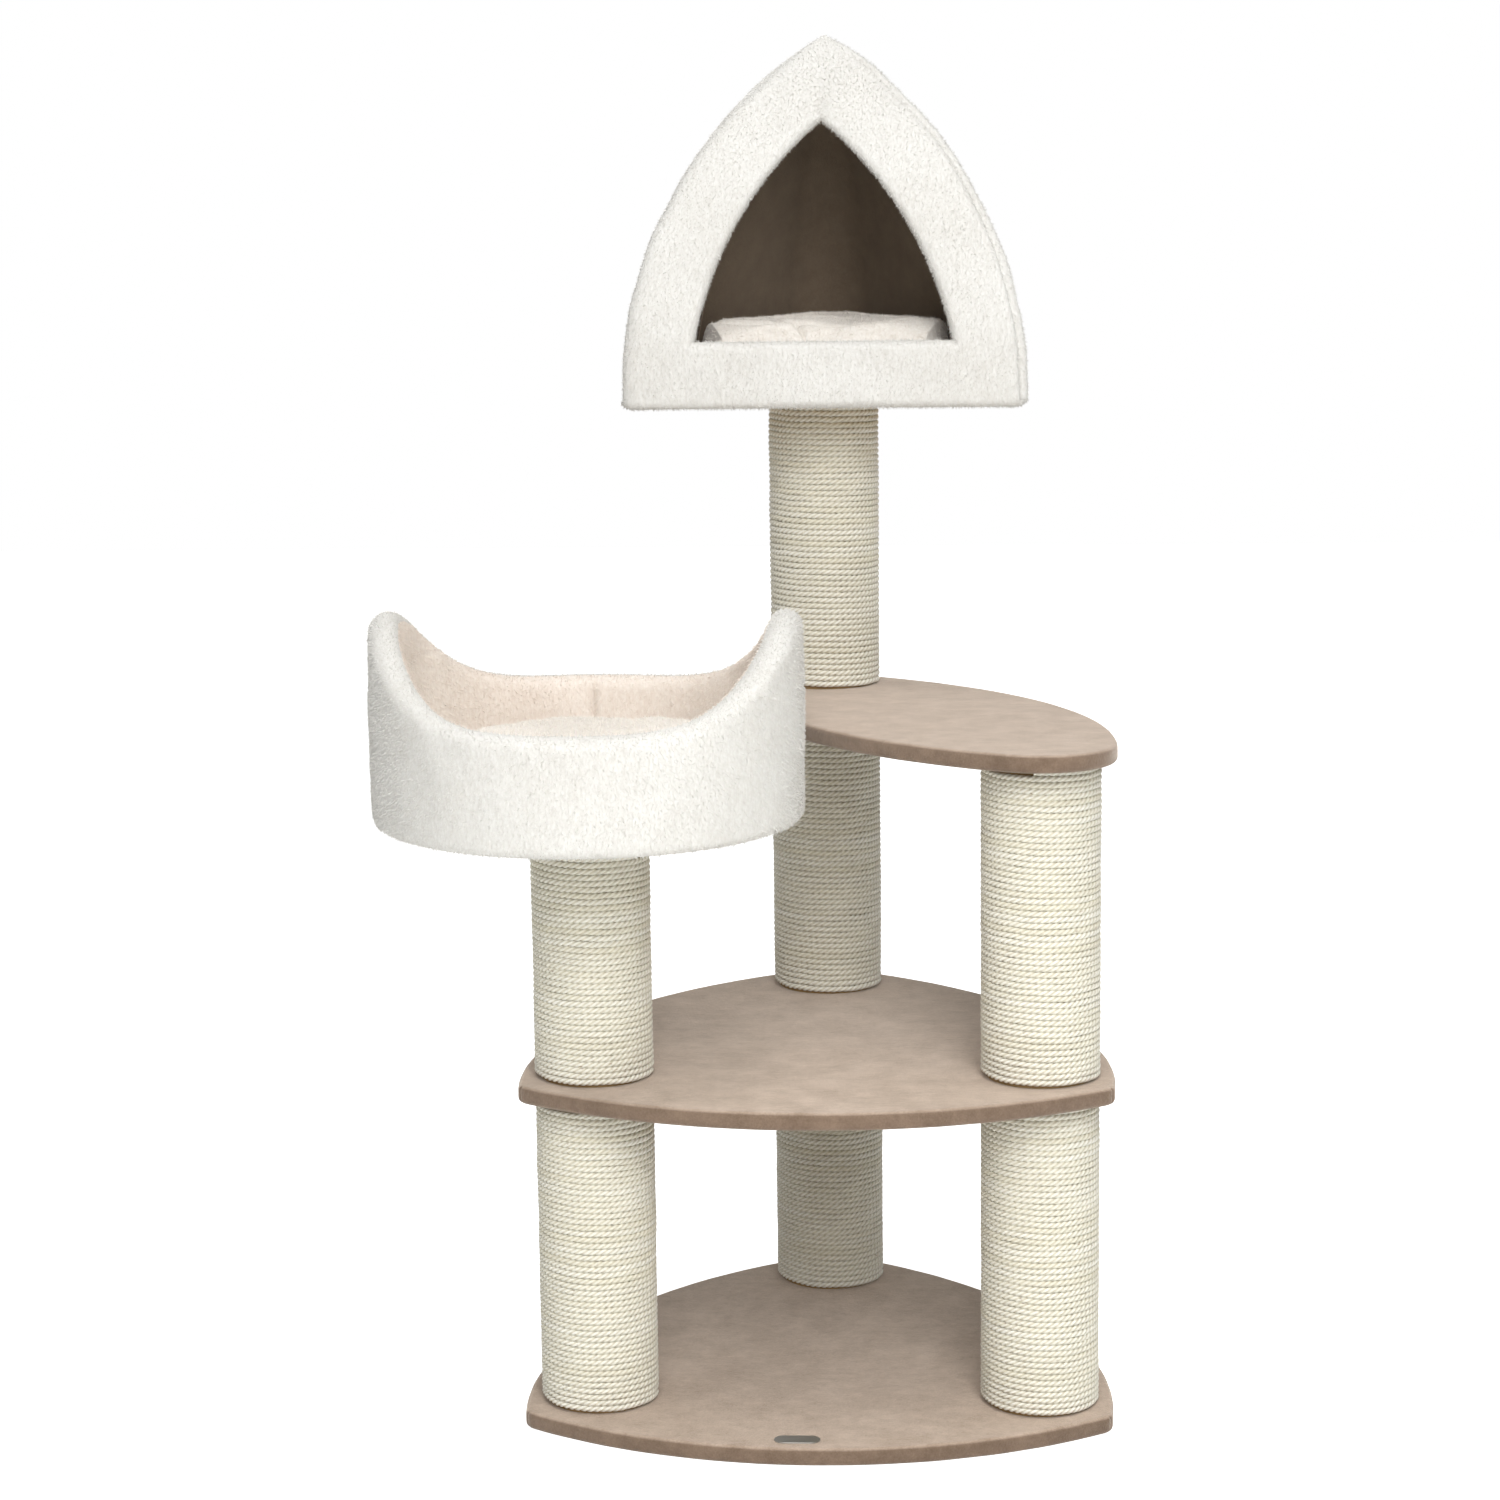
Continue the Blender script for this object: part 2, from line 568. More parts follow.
def bed_seam(angle, depth):
    """How far the seam at the middle of the rear is pulled in."""
    away = abs(math.remainder(angle - bed_seam_angle, 2 * math.pi)) * bed_outer_radius
    return depth * math.exp(-(away / 0.0035) ** 2)


def bed_shell(name, profile):
    """A skin right round the bed from a profile of (radius, height) at each angle."""
    rows = [profile(2 * math.pi * i / bed_around) for i in range(bed_around)]
    rings = len(rows[0])
    points = [rows[i][r] for r in range(rings) for i in range(bed_around)]
    return mesh_piece(name, points, ring_faces(rings, bed_around))


def bed_outside(angle):
    """Under the foot, up the wall and over the rolled rim."""
    spots = []
    top = bed_rim_height(angle)
    half = bed_wall_thick / 2
    pull = bed_seam(angle, 0.0022)
    for step in range(7):
        turn = math.radians(90 * step / 6)
        spots.append(bed_spot(angle, bed_outer_radius - bed_foot_radius * (1 - math.sin(turn)) - pull,
                              bed_base + bed_foot_radius * (1 - math.cos(turn)), 0.6))
    for step in range(1, 15):
        share = step / 14
        height = bed_base + bed_foot_radius + (top - half - bed_base - bed_foot_radius) * share
        belly = 0.0012 * math.sin(math.pi * share)
        spots.append(bed_spot(angle, bed_outer_radius + belly - pull, height, 1))
    for step in range(1, 12):
        turn = math.radians((bed_seam_turn + bed_ear_turn * math.cos(angle) ** 4) * step / 11)
        radius = bed_outer_radius - half * (1 - math.cos(turn)) - pull * math.cos(turn)
        spots.append(bed_spot(angle, radius, top - half + half * math.sin(turn), 1))
    return spots


def bed_inside(angle):
    """From the seam inside the rim down to the floor of the bed."""
    top = bed_rim_height(angle)
    half = bed_wall_thick / 2
    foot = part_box("bed_floor")[1].z
    spots = []
    seam_turn = bed_seam_turn + bed_ear_turn * math.cos(angle) ** 4
    for step in range(8):
        turn = math.radians(seam_turn + (176 - seam_turn) * step / 7)
        radius = bed_outer_radius - half * (1 - math.cos(turn)) + bed_seam(angle, 0.0035) * step / 7
        spots.append(bed_spot(angle, radius, top - half + half * math.sin(turn), 1))
    first = top - half + half * math.sin(turn)
    for step in range(1, 13):
        share = step / 12
        radius = bed_outer_radius - bed_wall_thick - 0.003 * math.sin(math.pi * share) + 0.002 * share
        height = first + (foot - first) * share
        spots.append(bed_spot(angle, radius + bed_seam(angle, 0.0055), height, 1))
    return spots


def plush(name, light_hex, dark_hex, pile_pitch):
    """Short-pile plush: brushed polyester tufts, so it is matt with a soft light edge from sheen."""
    material, tree, shader, place = new_material(name)
    brushed = add_node(tree, "ShaderNodeMapping", {"Vector": place, "Scale": (1.0, 1.0, 0.45)})
    tufts = add_node(tree, "ShaderNodeTexNoise", {  # tufts of pile lying downwards
        "Vector": brushed.outputs[0], "Scale": 1 / pile_pitch, "Detail": 4.0, "Roughness": 0.65})
    clumps = add_node(tree, "ShaderNodeTexVoronoi", {  # the tips gather in clumps twice as wide
        "Vector": brushed.outputs[0], "Scale": 0.5 / pile_pitch})
    drift = add_node(tree, "ShaderNodeTexNoise", {"Vector": place, "Scale": 9.0, "Detail": 3.0})
    relief = add_node(tree, "ShaderNodeMath", {
        0: clumps.outputs["Distance"], 1: -0.35, 2: tufts.outputs["Fac"]}, operation="MULTIPLY_ADD")
    mixed = add_node(tree, "ShaderNodeMath", {
        0: drift.outputs["Fac"], 1: 0.5, 2: relief.outputs[0]}, operation="MULTIPLY_ADD")
    share = add_node(tree, "ShaderNodeMapRange", {
        "Value": mixed.outputs[0], "From Min": 0.25, "From Max": 0.85})
    colour = add_node(tree, "ShaderNodeMix", {
        "Factor": share.outputs[0], "A": linear(dark_hex), "B": linear(light_hex)}, data_type="RGBA")
    finish_material(tree, shader, colour.outputs["Result"], relief.outputs[0], 0.45, 0.0012)
    shader.inputs["Roughness"].default_value = 0.95
    shader.inputs["Specular IOR Level"].default_value = 0.15
    shader.inputs["Sheen Weight"].default_value = 0.12
    shader.inputs["Sheen Roughness"].default_value = 0.6
    return material


white_plush = plush("off_white_plush", "#e1e0dc", "#d0cdc7", 0.0017)
rosy_plush = plush("rosy_beige_plush", "#eee6dd", "#ded1c5", 0.0020)

# The pile itself: thin spikes scattered over a skin, leaning down and a little to every side.
pile_tree, given = geometry_tree("plush_pile", (
    ("Skin", "Object", None),
    ("Density", "Float", 140000.0),
    ("Length", "Float", 0.0028),
    ("Width", "Float", 0.0004),
    ("Droop", "Float", 0.6),
    ("Seed", "Int", 0),
    ("Material", "Material", None),
))
skin = add_node(pile_tree, "GeometryNodeObjectInfo", {"Object": given["Skin"]})
scattered = add_node(pile_tree, "GeometryNodeDistributePointsOnFaces", {
    "Mesh": skin.outputs["Geometry"], "Density": given["Density"], "Seed": given["Seed"]})
astray = add_node(pile_tree, "FunctionNodeRandomValue", {
    "Min": (-0.5, -0.5, -0.5), "Max": (0.5, 0.5, 0.5), "Seed": given["Seed"]}, data_type="FLOAT_VECTOR")
upright = add_node(pile_tree, "ShaderNodeSeparateXYZ", {0: scattered.outputs["Normal"]})
rise = add_node(pile_tree, "ShaderNodeVectorMath", {
    0: scattered.outputs["Normal"], "Scale": upright.outputs["Z"]}, operation="SCALE")
downhill = add_node(pile_tree, "ShaderNodeVectorMath", {0: rise.outputs[0], 1: (0.0, 0.0, -1.0)})
sag = add_node(pile_tree, "ShaderNodeVectorMath", {
    0: downhill.outputs[0], "Scale": given["Droop"]}, operation="SCALE")
lean = add_node(pile_tree, "ShaderNodeVectorMath", {0: sag.outputs[0], 1: astray.outputs[0]})
aim = add_node(pile_tree, "ShaderNodeVectorMath", {0: lean.outputs[0], 1: scattered.outputs["Normal"]})
turn = add_node(pile_tree, "FunctionNodeAlignRotationToVector", {"Vector": aim.outputs[0]}, axis="Z")
spike = add_node(pile_tree, "GeometryNodeMeshCone", {
    "Vertices": 3, "Radius Top": 0.0, "Radius Bottom": given["Width"], "Depth": given["Length"]},
    fill_type="NONE")
size = add_node(pile_tree, "FunctionNodeRandomValue", {
    2: 0.6, 3: 1.25, "Seed": given["Seed"]}, data_type="FLOAT")
planted = add_node(pile_tree, "GeometryNodeInstanceOnPoints", {
    "Points": scattered.outputs["Points"], "Instance": spike.outputs["Mesh"],
    "Rotation": turn.outputs[0], "Scale": size.outputs[1]})
finish_tree(pile_tree, planted.outputs[0], given["Material"])


def add_pile(skin_piece, material, density, droop, seed, body, length=0.0028):
    """The pile that stands out of one skin, as a plain mesh that rides with it."""
    pile = from_nodes(skin_piece.name + "_pile", pile_tree, {
        "Skin": skin_piece, "Density": density, "Length": length, "Width": 0.00042, "Droop": droop,
        "Seed": seed, "Material": material})
    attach(pile, body)
    return pile


bed_fabric = face_towards(bed_shell("bed_outer_plush", bed_outside), bed_middle, away=True)
bed_lining = face_towards(bed_shell("bed_inner_plush", bed_inside), bed_middle)
for skin_piece, material, seed, node, slot in (
    (bed_fabric, white_plush, 11, "bed_cover", "outer_plush"),
    (bed_lining, rosy_plush, 12, "bed_lining", "inner_plush"),
):
    dress(skin_piece, material, node)
    add_pile(skin_piece, material, 142000.0, 0.6, seed, "tree")

# ---- plush of the arched house -----------------------------------------------------------------
# The same off-white plush over three bent boards on a triangular floor. Each board leans in to a
# rounded peak; the plush is rolled round the doorway and the foot, and the panels meet at seams.
house_low, house_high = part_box("house_front_cover")
house_foot = house_low.z
house_base, house_floor_top = (corner.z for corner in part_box("house_floor"))
house_axis_x = (house_low.x + house_high.x) / 2
arch_radius = 0.443
arch_half = 0.214
spread = math.sqrt(3)
arch_centre = (arch_radius - arch_half) / spread
house_axis_y = house_low.y + arch_half / spread
house_corner_radius = 0.015
house_roll = 0.0077           # half the thickness of the plush that is rolled round an edge
house_seam_depth = 0.0050
house_seam_width = 0.0040
left_seam_angle = math.radians(84)
right_seam_angle = math.radians(40)
rear_seam_angle = math.radians(60)
corner_turn = math.radians(120)
door_arc_radius = 0.396
door_lean = -0.0025           # how far the point of the doorway is off its middle
door_half = 0.135
door_lip = 0.009              # how far from the doorway the plush starts to roll inwards
door_sill_height = house_base + 0.0585
door_arc_height = house_base - 0.018


def house_slice(height, depth):
    """Distance from the axis to a panel and the radius of the corners, at this height and depth."""
    climb = min((height - house_base) / (arch_radius - depth), 1)
    reach = max((arch_radius / spread - depth) * math.sqrt(1 - climb ** 2) - arch_centre, 0.0)
    corner = max(min(house_corner_radius, 0.55 * reach) - depth, min(0.0015, 0.3 * reach))
    return reach + 0.42 * corner, corner


def house_width(height, depth, edge_angle):
    """The path from the middle of a panel to its seam at this height."""
    reach, corner = house_slice(height, depth)
    return spread * (reach - corner) + corner * edge_angle


def house_spot(side_angle, across, height, depth, rough=1.0, pull=0.0):
    """A point of a panel: across along its path from the middle, at a height and a depth, pulled in."""
    reach, corner = house_slice(height, depth)
    straight = spread * (reach - corner)
    along = abs(across)
    if along <= straight or corner < 1e-6:
        flat = Vector((min(along, straight), reach))
        out = Vector((0.0, 1.0))
    else:
        bend = (along - straight) / corner
        out = Vector((math.sin(bend), math.cos(bend)))
        flat = Vector((straight, reach - corner)) + out * corner
    if across < 0:
        flat.x, out.x = -flat.x, -out.x
    facing = Vector((math.cos(side_angle), math.sin(side_angle)))
    beside = Vector((-facing.y, facing.x))
    level = facing * flat.y + beside * flat.x
    outward = facing * out.y + beside * out.x
    shown = height - 0.003 * math.exp(-max(reach, 0) / 0.010)
    swell = noise.noise(Vector((level.x * 20 + 5, level.y * 20, shown * 20))) * 0.0022 * rough
    swell += noise.noise(Vector((level.x * 65, level.y * 65, shown * 65))) * 0.0008 * rough
    swell *= min(1.0, reach / 0.03)
    level = level + outward * (swell - pull * min(1.0, reach / 0.03))
    return Vector((house_axis_x + level.x, house_axis_y + level.y, shown + swell * 0.3))


def foot_roll(side_angle, left_angle, right_angle, steps):
    """The plush rolled under at the foot of a panel, from its face to its back."""
    points = []
    rolls = 9
    for r in range(rolls):
        turn = math.radians(180 * r / (rolls - 1))
        height = house_foot + house_roll * (1 - math.sin(turn))
        depth = house_roll * (1 - math.cos(turn))
        right = house_width(height, depth, right_angle)
        left = house_width(height, depth, left_angle)
        for i in range(steps + 1):
            across = -left + (left + right) * i / steps
            points.append(house_spot(side_angle, across, height, depth, 1 if r < 2 else 0.5))
    return points, ring_faces(rolls, steps + 1, closed=False)


def heights_to_peak(start, count, depth=0.0):
    """Heights from the start to the peak of the layer at this depth, closer together near the peak."""
    first = math.asin((start - house_base) / (arch_radius - depth))
    last = math.acos(arch_centre / (arch_radius / spread - depth))
    angles = [first + (last - first) * i / count for i in range(count + 1)]
    return [house_base + (arch_radius - depth) * math.sin(angle) for angle in angles]


def joined(name, parts):
    """One mesh piece from several lists of points and faces."""
    points, faces = [], []
    for part_points, part_faces in parts:
        start = len(points)
        points += part_points
        faces += [tuple(i + start for i in face) for face in part_faces]
    return mesh_piece(name, points, faces)


def side_panel(name, side_angle, left_angle, right_angle):
    """A panel without a doorway: a grid of points, and the roll at its foot."""
    steps = 96
    points = []
    heights = heights_to_peak(house_foot + house_roll, 90)
    for height in heights:
        right = house_width(height, 0, right_angle)
        left = house_width(height, 0, left_angle)
        for i in range(steps + 1):
            near = min(i, steps - i) * (left + right) / steps
            pull = house_seam_depth * math.exp(-(near / house_seam_width) ** 2)
            across = -left + (left + right) * i / steps
            points.append(house_spot(side_angle, across, height, 0, 1, pull))
    return joined(name, [
        (points, ring_faces(len(heights), steps + 1, closed=False)),
        foot_roll(side_angle, left_angle, right_angle, steps),
    ])


def door_edge(count_side, count_sill, grow):
    """The doorway's outline from its right foot over the point to its left foot and back."""
    centre_x = math.sqrt(door_arc_radius ** 2 - (door_sill_height - door_arc_height) ** 2) - door_half
    radius = door_arc_radius + grow
    sill = door_sill_height - grow
    first = math.asin((sill - door_arc_height) / radius)
    last = math.acos(centre_x / radius)
    arc = []
    for i in range(count_side + 1):
        angle = first + (last - first) * i / count_side
        arc.append((radius * math.cos(angle) - centre_x, door_arc_height + radius * math.sin(angle)))
    lean = [door_lean * (z - sill) / (arc[-1][1] - sill) for x, z in arc]
    mirrored = [(-x + off, z) for (x, z), off in zip(reversed(arc), reversed(lean))]
    arc = [(x + off, z) for (x, z), off in zip(arc, lean)]
    sill_row = [(-arc[0][0] + 2 * arc[0][0] * i / count_sill, sill) for i in range(1, count_sill)]
    return arc + mirrored[1:] + sill_row


def front_panel(name):
    """The panel with the doorway: rings from its seams in to the edge of the doorway."""
    side_steps, sill_steps = 90, 96
    side_angle = math.radians(-90)
    heights = heights_to_peak(house_foot + house_roll, side_steps)
    right_seam = [(house_width(h, 0, right_seam_angle), h) for h in heights]
    left_seam = [(-house_width(h, 0, left_seam_angle), h) for h in reversed(heights)]
    foot_left, foot_right = left_seam[-1][0], right_seam[0][0]
    foot_row = [(foot_left + (foot_right - foot_left) * i / sill_steps, heights[0])
                for i in range(1, sill_steps)]
    outer = right_seam + left_seam[1:] + foot_row
    lip = door_edge(side_steps, sill_steps, door_lip)
    points = []
    shares = (0, 0.03, 0.07, 0.12, 0.2, 0.3, 0.4, 0.5, 0.6, 0.7, 0.8, 0.88, 0.95, 1)
    last_on_side = len(right_seam) + len(left_seam) - 1
    for share in shares:
        for k, ((ox, oz), (ix, iz)) in enumerate(zip(outer, lip)):
            near = share * abs(ix - ox) if k < last_on_side else 1.0
            pull = house_seam_depth * math.exp(-(near / house_seam_width) ** 2)
            across, height = ox + (ix - ox) * share, oz + (iz - oz) * share
            points.append(house_spot(side_angle, across, height, 0, 1, pull))
    rolls = 9
    for r in range(1, rolls):
        turn = math.radians(155 * r / (rolls - 1))
        edge = door_edge(side_steps, sill_steps, door_lip * (1 - math.sin(turn)))
        depth = house_roll * (1 - math.cos(turn))
        points += [house_spot(side_angle, x, z, depth, 0.6) for x, z in edge]
    return joined(name, [
        (points, ring_faces(len(shares) + rolls - 1, len(outer))),
        foot_roll(side_angle, left_seam_angle, right_seam_angle, sill_steps),
    ])


house_skins = {
    "front": front_panel("house_front_plush"),
    "right": side_panel("house_right_plush", math.radians(30),
                        corner_turn - right_seam_angle, rear_seam_angle),
    "left": side_panel("house_left_plush", math.radians(150),
                       rear_seam_angle, corner_turn - left_seam_angle),
}
for number, (side, skin_piece) in enumerate(house_skins.items()):
    dress(skin_piece, white_plush, "house_" + side + "_cover")
    add_pile(skin_piece, white_plush, 142000.0, 0.6, 21 + number, "tree")

# ---- lining of the arched house ----------------------------------------------------------------
# Dark microsuede glued over thin wadding to the inside of the boards. It bridges the corners in a
# soft curve, and its edge is caught under the plush that is rolled round the doorway.
lining_depth = 0.0166
lining_corner_radius = 0.055
lining_thick = 0.0008
lining_tuck = 0.003           # the seam's allowance, tucked in behind the next piece


def lining_slice(height):
    """The lining's distance from the axis, its corners' radius and its half width between them."""
    climb = min((height - house_base) / (arch_radius - lining_depth), 1)
    reach = max((arch_radius / spread - lining_depth) * math.sqrt(1 - climb ** 2) - arch_centre, 0.0)
    corner = min(lining_corner_radius, 0.5 * reach)
    return reach, corner, spread * (reach - corner)


def lining_spot(side_angle, across, height, sunk=0.0):
    """A point of the lining: across along its path from the middle of a panel, at a height."""
    reach, corner, straight = lining_slice(height)
    along = abs(across)
    if along <= straight or corner < 1e-6:
        flat = Vector((min(along, straight), reach))
    else:
        bend = (along - straight) / corner
        flat = Vector((straight, reach - corner)) + Vector((math.sin(bend), math.cos(bend))) * corner
    if across < 0:
        flat.x = -flat.x
    facing = Vector((math.cos(side_angle), math.sin(side_angle)))
    beside = Vector((-facing.y, facing.x))
    ripple = noise.noise(Vector((flat.x * 16 + side_angle * 3, height * 11, 0.3))) * 0.0016
    calm = 1 - min(along / max(straight, 1e-6), 1) ** 2
    level = facing * (flat.y + sunk - abs(ripple) * calm) + beside * flat.x
    return Vector((house_axis_x + level.x, house_axis_y + level.y, height))


def lining_width(height):
    """The path from the middle of a panel's lining to its seam at this height."""
    reach, corner, straight = lining_slice(height)
    return straight + corner * math.radians(60)


lining_heights = heights_to_peak(house_floor_top, 60, lining_depth)
lining_widths = [lining_width(height) for height in lining_heights]
lining_radius = arch_radius - lining_depth
lining_arc = lining_radius * math.asin((lining_heights[-1] - house_base) / lining_radius)
lining_area = sum(w0 + w1 for w0, w1 in zip(lining_widths, lining_widths[1:])) * lining_arc / 60
doorway = door_edge(60, 40, 0.004)
door_area = plane_area(doorway)


def side_lining(name, side_angle):
    """The lining of a panel without a doorway."""
    steps = 60
    points = []
    for height, width in zip(lining_heights, lining_widths):
        points.append(lining_spot(side_angle, -width - lining_tuck, height, lining_thick))
        points += [lining_spot(side_angle, -width + 2 * width * i / steps, height)
                   for i in range(steps + 1)]
        points.append(lining_spot(side_angle, width + lining_tuck, height, lining_thick))
    return mesh_piece(name, points, ring_faces(len(lining_heights), steps + 3, closed=False))


def front_lining(name):
    """The lining of the panel with the doorway, in rings from its seams in to the doorway."""
    side_steps, sill_steps = 60, 40
    right_seam = list(zip(lining_widths, lining_heights))
    left_seam = [(-x, z) for x, z in reversed(right_seam)]
    widest = right_seam[0][0]
    foot_row = [(-widest + 2 * widest * i / sill_steps, lining_heights[0])
                for i in range(1, sill_steps)]
    outer = right_seam + left_seam[1:] + foot_row
    points = []
    shares = (0, 0.15, 0.3, 0.45, 0.6, 0.75, 0.9, 1)
    for share in shares:
        for (ox, oz), (ix, iz) in zip(outer, doorway):
            across, height = ox + (ix - ox) * share, oz + (iz - oz) * share
            points.append(lining_spot(math.radians(-90), across, height))
    return mesh_piece(name, points, ring_faces(len(shares), len(outer)))


dark_suede = suede("dark_microsuede", "#766858", "#6b5d4e", "#766858", "#6b5d4e")
dark_suede.node_tree.nodes["Principled BSDF"].inputs["Sheen Weight"].default_value = 0.1
for side, lining, area in (
    ("front", front_lining("house_front_inside"), lining_area - door_area),
    ("right", side_lining("house_right_inside", math.radians(30)), lining_area),
    ("left", side_lining("house_left_inside", math.radians(150)), lining_area),
):
    face_towards(lining, Vector((house_axis_x, house_axis_y, house_base + 0.1)))
    thicken(lining, lining_thick, -1)
    dress(lining, dark_suede, "house_" + side + "_lining")

# ---- loose cushions ----------------------------------------------------------------------------
# Two loose cushions of the same plush, stuffed with fibre fill: a round one in the bed and a
# three-cornered one in the house. Each is blown up as cloth, then creased where it is crumpled.
cushion_voxel = 0.005


def pillow(name, rim, low, high, boxy):
    """The form a cushion is blown up from: two skins that meet at a seam round its middle height."""
    centre = sum((Vector(spot) for spot in rim), Vector((0, 0))) / len(rim)
    middle, half = (low + high) / 2, (high - low) / 2
    rings = 22
    points = []
    for r in range(1, rings):
        turn = math.radians(-90 + 180 * r / rings)
        share = math.cos(turn) ** boxy
        lift = math.copysign(abs(math.sin(turn)) ** (2 * boxy), turn)
        for spot in rim:
            flat = centre + (Vector(spot) - centre) * share
            points.append((flat.x, flat.y, middle + half * lift))
    around = len(rim)
    faces = ring_faces(rings - 1, around)
    points += [(centre.x, centre.y, low), (centre.x, centre.y, high)]
    last = (rings - 2) * around
    faces += [((i + 1) % around, i, len(points) - 2) for i in range(around)]
    faces += [(last + i, last + (i + 1) % around, len(points) - 1) for i in range(around)]
    return mesh_piece(name, points, faces)


def blow_up(piece, cap):
    """Even the mesh out and blow it up by cloth simulation; no point moves further than the cap."""
    even = piece.modifiers.new("even_mesh", "REMESH")
    even.mode = "VOXEL"
    even.voxel_size = cushion_voxel
    mesh = bpy.data.meshes.new_from_object(piece.evaluated_get(bpy.context.evaluated_depsgraph_get()))
    piece.modifiers.clear()
    piece.data = mesh
    start = np.array([vertex.co for vertex in mesh.vertices])
    cloth = piece.modifiers.new("blown_up", "CLOTH")
    cloth.settings.use_pressure = True
    cloth.settings.uniform_pressure_force = 4.0
    cloth.settings.effector_weights.gravity = 0.0
    cloth.point_cache.frame_end = 20
    for frame_number in range(1, 21):
        scene.frame_set(frame_number)
    ready = piece.evaluated_get(bpy.context.evaluated_depsgraph_get())
    move = np.array([vertex.co for vertex in ready.data.vertices]) - start
    length = np.linalg.norm(move, axis=1, keepdims=True)
    move *= np.minimum(1.0, cap / np.maximum(length, 1e-9))
    piece.modifiers.clear()
    mesh.vertices.foreach_set("co", (start + move).ravel())
    mesh.update()
    scene.frame_set(1)


def crumple(piece, relief, limit):
    """Move the upper skin by a relief, keep every point inside the limit, and smooth the result."""
    fine = piece.modifiers.new("fine", "SUBSURF")
    fine.levels = fine.render_levels = 1
    mesh = bpy.data.meshes.new_from_object(piece.evaluated_get(bpy.context.evaluated_depsgraph_get()))
    piece.modifiers.clear()
    piece.data = mesh
    low = min(vertex.co.z for vertex in mesh.vertices)
    high = max(vertex.co.z for vertex in mesh.vertices)
    for vertex in mesh.vertices:
        share = min(max((vertex.co.z - low) / (high - low) * 2 - 0.9, 0), 1)
        share = share * share * (3 - 2 * share)
        vertex.co.z += relief(vertex.co) * share
        vertex.co = limit(vertex.co)
    mesh.shade_smooth()


def bed_cushion_relief(spot):
    """Soft hollows and swellings, and a few creases that run across the cushion."""
    soft = noise.noise(Vector((spot.x * 9 + 3.1, spot.y * 7, 0.7))) * 0.011
    crease = abs(noise.noise(Vector((spot.x * 11, spot.y * 16 + 5.3, 2.2))))
    return soft - 0.0022 * math.exp(-(crease / 0.12) ** 2)


cushion_low, cushion_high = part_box("bed_cushion")
cushion_reach = (cushion_high.x - cushion_low.x) / 2
bed_pad_rim = [bed_middle.to_2d() + turned(cushion_reach - 0.008, 2 * i) for i in range(180)]
bed_pad = pillow("bed_cushion_plush", bed_pad_rim, cushion_low.z + 0.008, cushion_high.z - 0.012, 0.34)
blow_up(bed_pad, 0.010)


def keep_in_bed(spot):
    """Inside the space that the bed's wall leaves, and flat where it rests on the floor."""
    out = spot.to_2d() - bed_middle.to_2d()
    if out.length > cushion_reach:
        out = out.normalized() * cushion_reach
    height = min(max(spot.z, cushion_low.z + 0.001), cushion_high.z + 0.002)
    return Vector((bed_middle.x + out.x, bed_middle.y + out.y, height))


crumple(bed_pad, bed_cushion_relief, keep_in_bed)

pad_low, pad_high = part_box("house_cushion")
pad_corner = 0.034
pad_reach = house_axis_y - pad_low.y
pad_corner_reach = 2 * pad_reach - lining_corner_radius + 0.004
pad_lean = 0.005              # how far its upper side is inside the lower one
pad_rim = []
for corner_angle in (90, 210, 330):
    house_axis = Vector((house_axis_x, house_axis_y))
    middle = house_axis + turned(2 * (pad_reach - pad_corner), corner_angle)
    after = house_axis + turned(2 * (pad_reach - pad_corner), corner_angle + 120)
    pad_rim += [middle + turned(pad_corner - 0.004, corner_angle - 60 + 120 * i / 20)
                for i in range(21)]
    first, last = pad_rim[-1], after + turned(pad_corner - 0.004, corner_angle + 60)
    pad_rim += [first.lerp(last, i / 30) for i in range(1, 30)]
house_pad = pillow("house_cushion_plush", pad_rim, pad_low.z + 0.006, pad_high.z - 0.012, 0.16)
blow_up(house_pad, 0.010)


def house_cushion_relief(spot):
    """The rear edges stand up against the walls, behind a long fold and a rolled front edge."""
    x, y = spot.x - house_axis_x, spot.y - house_axis_y
    fold = -0.045 + 0.10 * x + 0.9 * x * x
    valley = -0.013 * math.exp(-((y - fold) / 0.007) ** 2)
    left_fold = -0.010 * math.exp(-((y + 0.02 + 1.4 * (x + 0.06)) / 0.006) ** 2) * (x < -0.02)
    behind = min(max((y - fold) / 0.05, 0), 1)
    soft = noise.noise(Vector((x * 14 + 1.7, y * 14, 4.4))) * 0.006
    edge = 1.0
    for side_angle in (30, 150):
        facing = turned(1.0, side_angle)
        edge = min(edge, pad_reach - x * facing.x - y * facing.y)
    raised = 0.020 * math.exp(-(max(edge, 0) / 0.034) ** 2)
    to_right = min(max(x / 0.09, 0), 1)
    return valley + left_fold + soft + raised + 0.004 * behind - 0.004 * behind * to_right


def keep_in_house(spot):
    """Above the floor board, and clear of the walls, which lean in, when the cushion is lifted out."""
    share = min(max((spot.z - pad_low.z) / (pad_high.z - pad_low.z), 0), 1)
    for first_angle, limit in (
        (-90, pad_reach - pad_lean * share),
        (90, pad_corner_reach - 2 * pad_lean * share),
    ):
        for side_angle in (first_angle, first_angle + 120, first_angle + 240):
            facing = turned(1.0, side_angle)
            past = (spot.x - house_axis_x) * facing.x + (spot.y - house_axis_y) * facing.y - limit
            if past > 0:
                spot = spot - Vector((facing.x, facing.y, 0)) * past
    return Vector((spot.x, spot.y, min(max(spot.z, pad_low.z + 0.001), pad_high.z + 0.003)))


